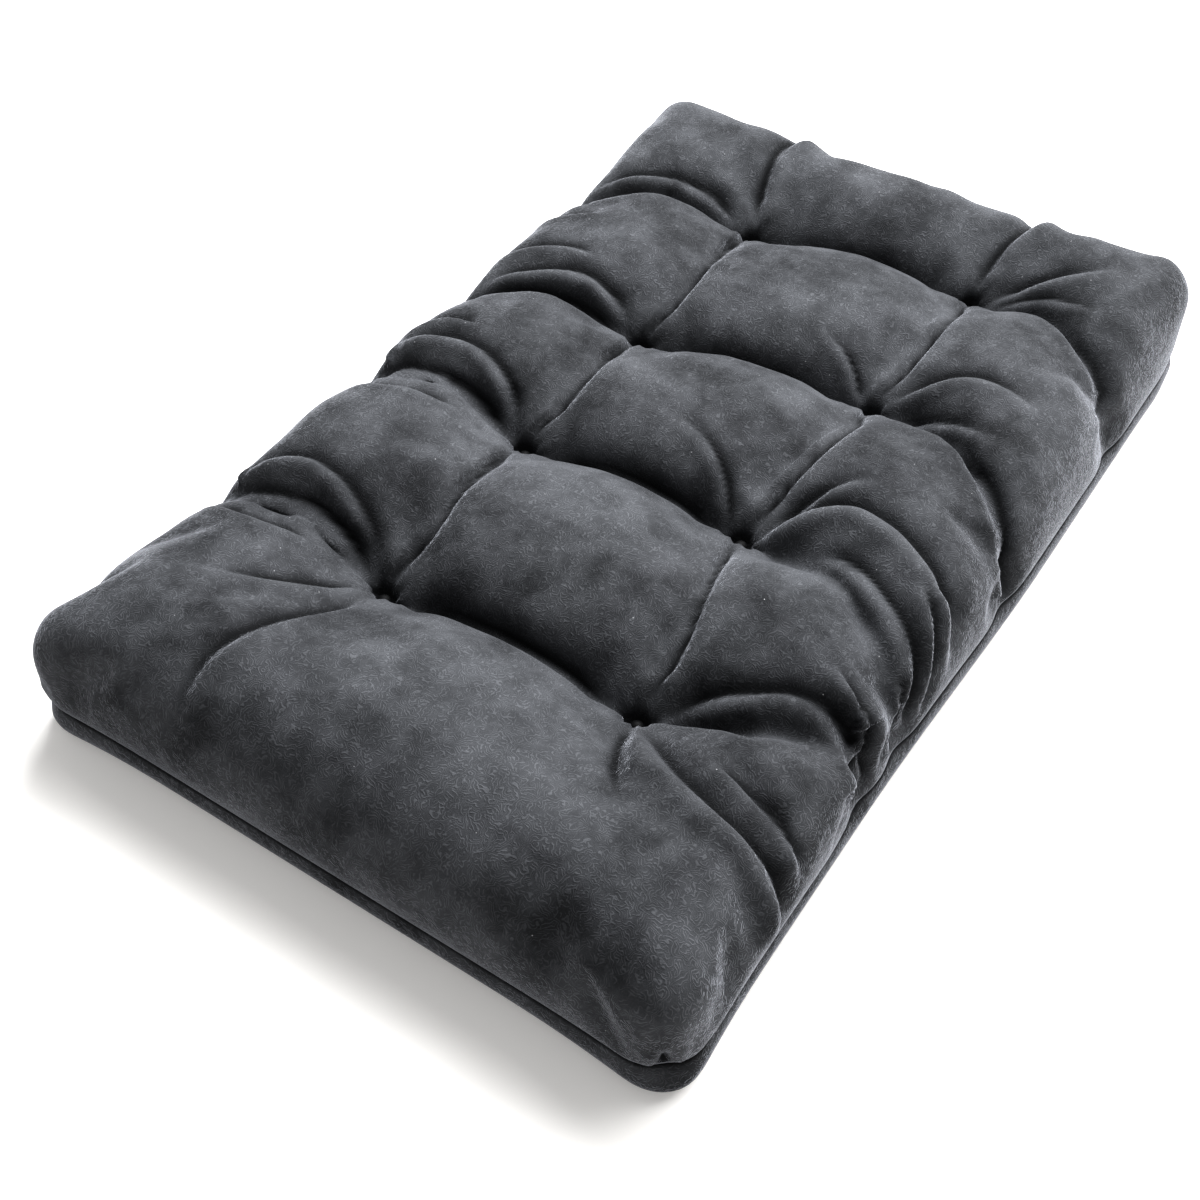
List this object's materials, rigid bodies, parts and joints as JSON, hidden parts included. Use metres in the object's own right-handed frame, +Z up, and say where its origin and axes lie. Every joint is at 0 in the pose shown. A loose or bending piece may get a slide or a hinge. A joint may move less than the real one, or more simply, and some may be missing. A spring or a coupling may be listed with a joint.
{
  "type": "futon mattress",
  "caption": "Thick tufted futon mattress with a plush casing, deep buttoned pits, rolled edges, darted corners and a low perimeter seam, lying flat.",
  "frame": {"origin": "middle of the underside, on the surface the mattress lies on", "axes": "+Z up out of the lying surface; +Y along the length, towards the head end, the end the tuft grid sits nearer; +X across the width"},
  "size_m": [0.75, 1.2, 0.165],
  "materials": {
    "plush": "short brushed pile",
    "thread": "spun sewing thread",
    "twine": "waxed tufting twine",
    "fibre_fill": "loose lofted fibre",
    "felt_core": "needled felt",
    "button": "satin"
  },
  "bodies": {
    "root": {"casing_top_panel": "plush", "casing_bottom_panel": "plush", "perimeter_needle_thread": "thread", "perimeter_bobbin_thread": "thread", "closing_hand_thread": "thread", "top_dart_thread_foot_left": "thread", "base_dart_thread_foot_left": "thread", "top_dart_thread_foot_right": "thread", "base_dart_thread_foot_right": "thread", "top_dart_thread_head_left": "thread", "base_dart_thread_head_left": "thread", "top_dart_thread_head_right": "thread", "base_dart_thread_head_right": "thread", "upper_outer_batt": "fibre_fill", "upper_inner_batt": "fibre_fill", "core_pad": "felt_core", "lower_inner_batt": "fibre_fill", "lower_outer_batt": "fibre_fill", "top_button_foot_left": "button", "bottom_button_foot_left": "button", "tuft_twine_foot_left": "twine", "top_button_foot_right": "button", "bottom_button_foot_right": "button", "tuft_twine_foot_right": "twine", "top_button_lower_left": "button", "bottom_button_lower_left": "button", "tuft_twine_lower_left": "twine", "top_button_lower_right": "button", "bottom_button_lower_right": "button", "tuft_twine_lower_right": "twine", "top_button_upper_left": "button", "bottom_button_upper_left": "button", "tuft_twine_upper_left": "twine", "top_button_upper_right": "button", "bottom_button_upper_right": "button", "tuft_twine_upper_right": "twine", "top_button_head_left": "button", "bottom_button_head_left": "button", "tuft_twine_head_left": "twine", "top_button_head_right": "button", "bottom_button_head_right": "button", "tuft_twine_head_right": "twine"}
  },
  "joints": []
}
